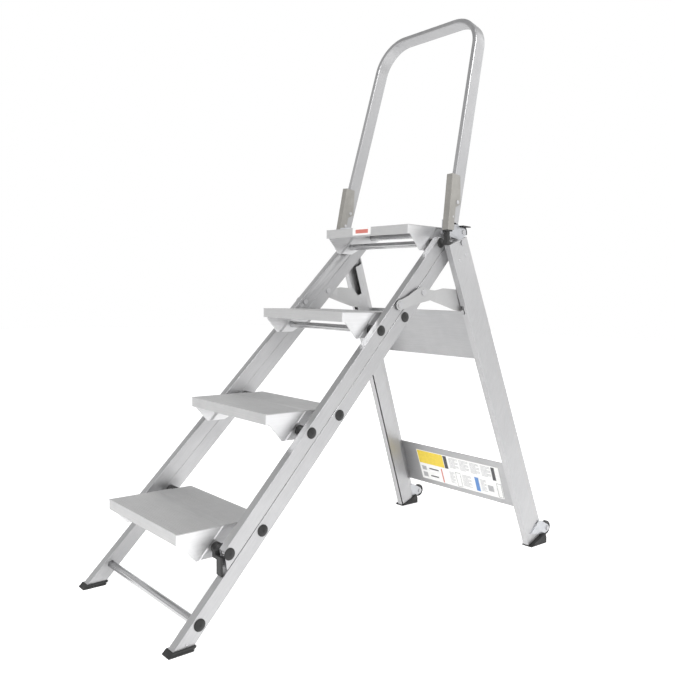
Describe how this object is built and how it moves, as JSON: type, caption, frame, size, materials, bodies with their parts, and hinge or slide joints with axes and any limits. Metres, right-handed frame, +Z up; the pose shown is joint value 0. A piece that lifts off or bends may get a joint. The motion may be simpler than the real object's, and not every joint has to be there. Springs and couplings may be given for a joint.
{
  "type": "platform step ladder",
  "caption": "Folding aluminium platform step ladder with paired front rails, pivoting treads, folding rear legs with panels and small wheels, brace arms and a hooped handrail.",
  "frame": {"origin": "on the floor, at the middle of the footprint of the open ladder", "axes": "+Z up, +Y the way the user faces when climbing, +X to the user's right, across the treads"},
  "size_m": [0.5692, 1.2806, 1.5451],
  "materials": {
    "rail_aluminium": "mill finish, fine drawn lines",
    "tube_aluminium": "bright drawn tube",
    "tread_aluminium": "satin, ribbed for grip",
    "cheek_aluminium": "smooth rolled sheet",
    "leg_aluminium": "mill finish",
    "panel_aluminium": "smooth rolled sheet",
    "plate_aluminium": "blanked plate",
    "handrail_aluminium": "satin drawn tube",
    "bracket_steel": "plain rolled steel",
    "plate_steel": "zinc plated",
    "fastener_steel": "zinc plated",
    "black_plastic": "moulded",
    "wheel_plastic": "moulded, slightly glossy",
    "black_rubber": "moulded"
  },
  "bodies": {
    "rear_frame": {"rear_rail_left": "rail_aluminium", "rear_rail_right": "rail_aluminium", "front_foot_left": "black_rubber", "front_foot_right": "black_rubber", "lower_stretcher": "tube_aluminium", "rear_tube_1": "tube_aluminium", "rear_tube_2": "tube_aluminium", "rear_tube_3": "tube_aluminium", "rear_tube_4": "tube_aluminium", "rear_caps": "black_plastic", "frame_pins": "fastener_steel"},
    "front_frame": {"front_rail_left": "rail_aluminium", "front_rail_right": "rail_aluminium", "front_tube_1": "tube_aluminium", "front_tube_2": "tube_aluminium", "front_tube_3": "tube_aluminium", "front_tube_4": "tube_aluminium", "front_caps": "black_plastic"},
    "brace_left": {"brace_arm_left": "plate_aluminium", "brace_studs_left": "fastener_steel"},
    "brace_right": {"brace_arm_right": "plate_aluminium", "brace_studs_right": "fastener_steel"},
    "rear_legs": {"rear_leg_left": "leg_aluminium", "rear_leg_right": "leg_aluminium", "upper_panel": "panel_aluminium", "lower_panel": "panel_aluminium", "wheel_fork_left": "plate_steel", "wheel_fork_right": "plate_steel", "rear_foot_left": "black_rubber", "rear_foot_right": "black_rubber", "wheel_axles": "fastener_steel", "leg_rivets": "fastener_steel"},
    "wheel_left": {"wheel_left": "wheel_plastic"},
    "wheel_right": {"wheel_right": "wheel_plastic"},
    "handrail": {"handrail_tube": "handrail_aluminium", "handrail_bracket_left": "bracket_steel", "handrail_bracket_right": "bracket_steel", "pivot_plate_left": "plate_steel", "pivot_plate_right": "plate_steel", "handrail_rivets": "fastener_steel", "bumpers": "black_rubber"},
    "release_lever_left": {"release_lever_left": "black_plastic"},
    "release_lever_right": {"release_lever_right": "black_plastic"},
    "storage_latch": {"storage_latch": "black_plastic"},
    "step_1": {"step_1_deck": "tread_aluminium", "step_1_cheek_left": "cheek_aluminium", "step_1_cheek_right": "cheek_aluminium", "step_1_bushes": "black_plastic"},
    "step_2": {"step_2_deck": "tread_aluminium", "step_2_cheek_left": "cheek_aluminium", "step_2_cheek_right": "cheek_aluminium", "step_2_bushes": "black_plastic"},
    "step_3": {"step_3_deck": "tread_aluminium", "step_3_cheek_left": "cheek_aluminium", "step_3_cheek_right": "cheek_aluminium", "step_3_bushes": "black_plastic"},
    "platform": {"platform_deck": "tread_aluminium", "platform_cheek_left": "cheek_aluminium", "platform_cheek_right": "cheek_aluminium", "platform_bushes": "black_plastic"}
  },
  "joints": [
    {"name": "platform_fold", "type": "hinge", "parent": "rear_frame", "child": "platform", "pos_m": [0, 0.26436, 0.9205], "axis": [-1, 0, 0], "range_deg": [0, 130]},
    {"name": "step_1_fold", "type": "hinge", "parent": "rear_frame", "child": "step_1", "pos_m": [0, -0.40865, 0.2155], "axis": [-1, 0, 0], "range_deg": [0, 130]},
    {"name": "step_2_fold", "type": "hinge", "parent": "rear_frame", "child": "step_2", "pos_m": [0, -0.18431, 0.4505], "axis": [-1, 0, 0], "range_deg": [0, 130]},
    {"name": "step_3_fold", "type": "hinge", "parent": "rear_frame", "child": "step_3", "pos_m": [0, 0.04002, 0.6855], "axis": [-1, 0, 0], "range_deg": [0, 130]},
    {"name": "front_frame_swing", "type": "hinge", "parent": "platform", "child": "front_frame", "pos_m": [0, 0.17836, 0.8865], "axis": [-1, 0, 0], "range_deg": [-130, 0]},
    {"name": "brace_left_fold", "type": "hinge", "parent": "rear_frame", "child": "brace_left", "pos_m": [-0.21045, 0.10316, 0.7509], "axis": [-1, 0, 0], "range_deg": [0, 130]},
    {"name": "brace_right_fold", "type": "hinge", "parent": "rear_frame", "child": "brace_right", "pos_m": [0.21045, 0.10316, 0.7509], "axis": [-1, 0, 0], "range_deg": [0, 130]},
    {"name": "rear_leg_fold", "type": "hinge", "parent": "rear_frame", "child": "rear_legs", "pos_m": [0, 0.23522, 0.88998], "axis": [-1, 0, 0], "range_deg": [0, 65]},
    {"name": "handrail_fold", "type": "hinge", "parent": "rear_frame", "child": "handrail", "pos_m": [0, 0.26436, 0.9205], "axis": [-1, 0, 0], "range_deg": [0, 45.5]},
    {"name": "wheel_left_spin", "type": "hinge", "parent": "rear_legs", "child": "wheel_left", "pos_m": [-0.2659, 0.61935, 0.0395], "axis": [1, 0, 0], "continuous": true},
    {"name": "wheel_right_spin", "type": "hinge", "parent": "rear_legs", "child": "wheel_right", "pos_m": [0.2659, 0.61935, 0.0395], "axis": [1, 0, 0], "continuous": true},
    {"name": "release_lever_left_lift", "type": "hinge", "parent": "handrail", "child": "release_lever_left", "pos_m": [-0.2019, 0.23036, 0.9365], "axis": [1, 0, 0], "range_deg": [0, 20], "stiffness_Nm_per_rad": 0.05, "springref_deg": -20.05},
    {"name": "release_lever_right_lift", "type": "hinge", "parent": "handrail", "child": "release_lever_right", "pos_m": [0.2019, 0.23036, 0.9365], "axis": [1, 0, 0], "range_deg": [0, 20], "stiffness_Nm_per_rad": 0.05, "springref_deg": -20.05},
    {"name": "storage_latch_swing", "type": "hinge", "parent": "front_frame", "child": "storage_latch", "pos_m": [0.195, -0.49465, 0.1815], "axis": [-1, 0, 0], "range_deg": [0, 50]}
  ],
  "couplings": [
    {"joint": "step_1_fold", "follows": "platform_fold", "ratio": 1},
    {"joint": "step_2_fold", "follows": "platform_fold", "ratio": 1},
    {"joint": "step_3_fold", "follows": "platform_fold", "ratio": 1},
    {"joint": "front_frame_swing", "follows": "platform_fold", "ratio": -1},
    {"joint": "brace_left_fold", "follows": "platform_fold", "ratio": 1},
    {"joint": "brace_right_fold", "follows": "platform_fold", "ratio": 1},
    {"joint": "rear_leg_fold", "follows": "platform_fold", "ratio": 0.5},
    {"joint": "handrail_fold", "follows": "platform_fold", "ratio": 0.35}
  ]
}
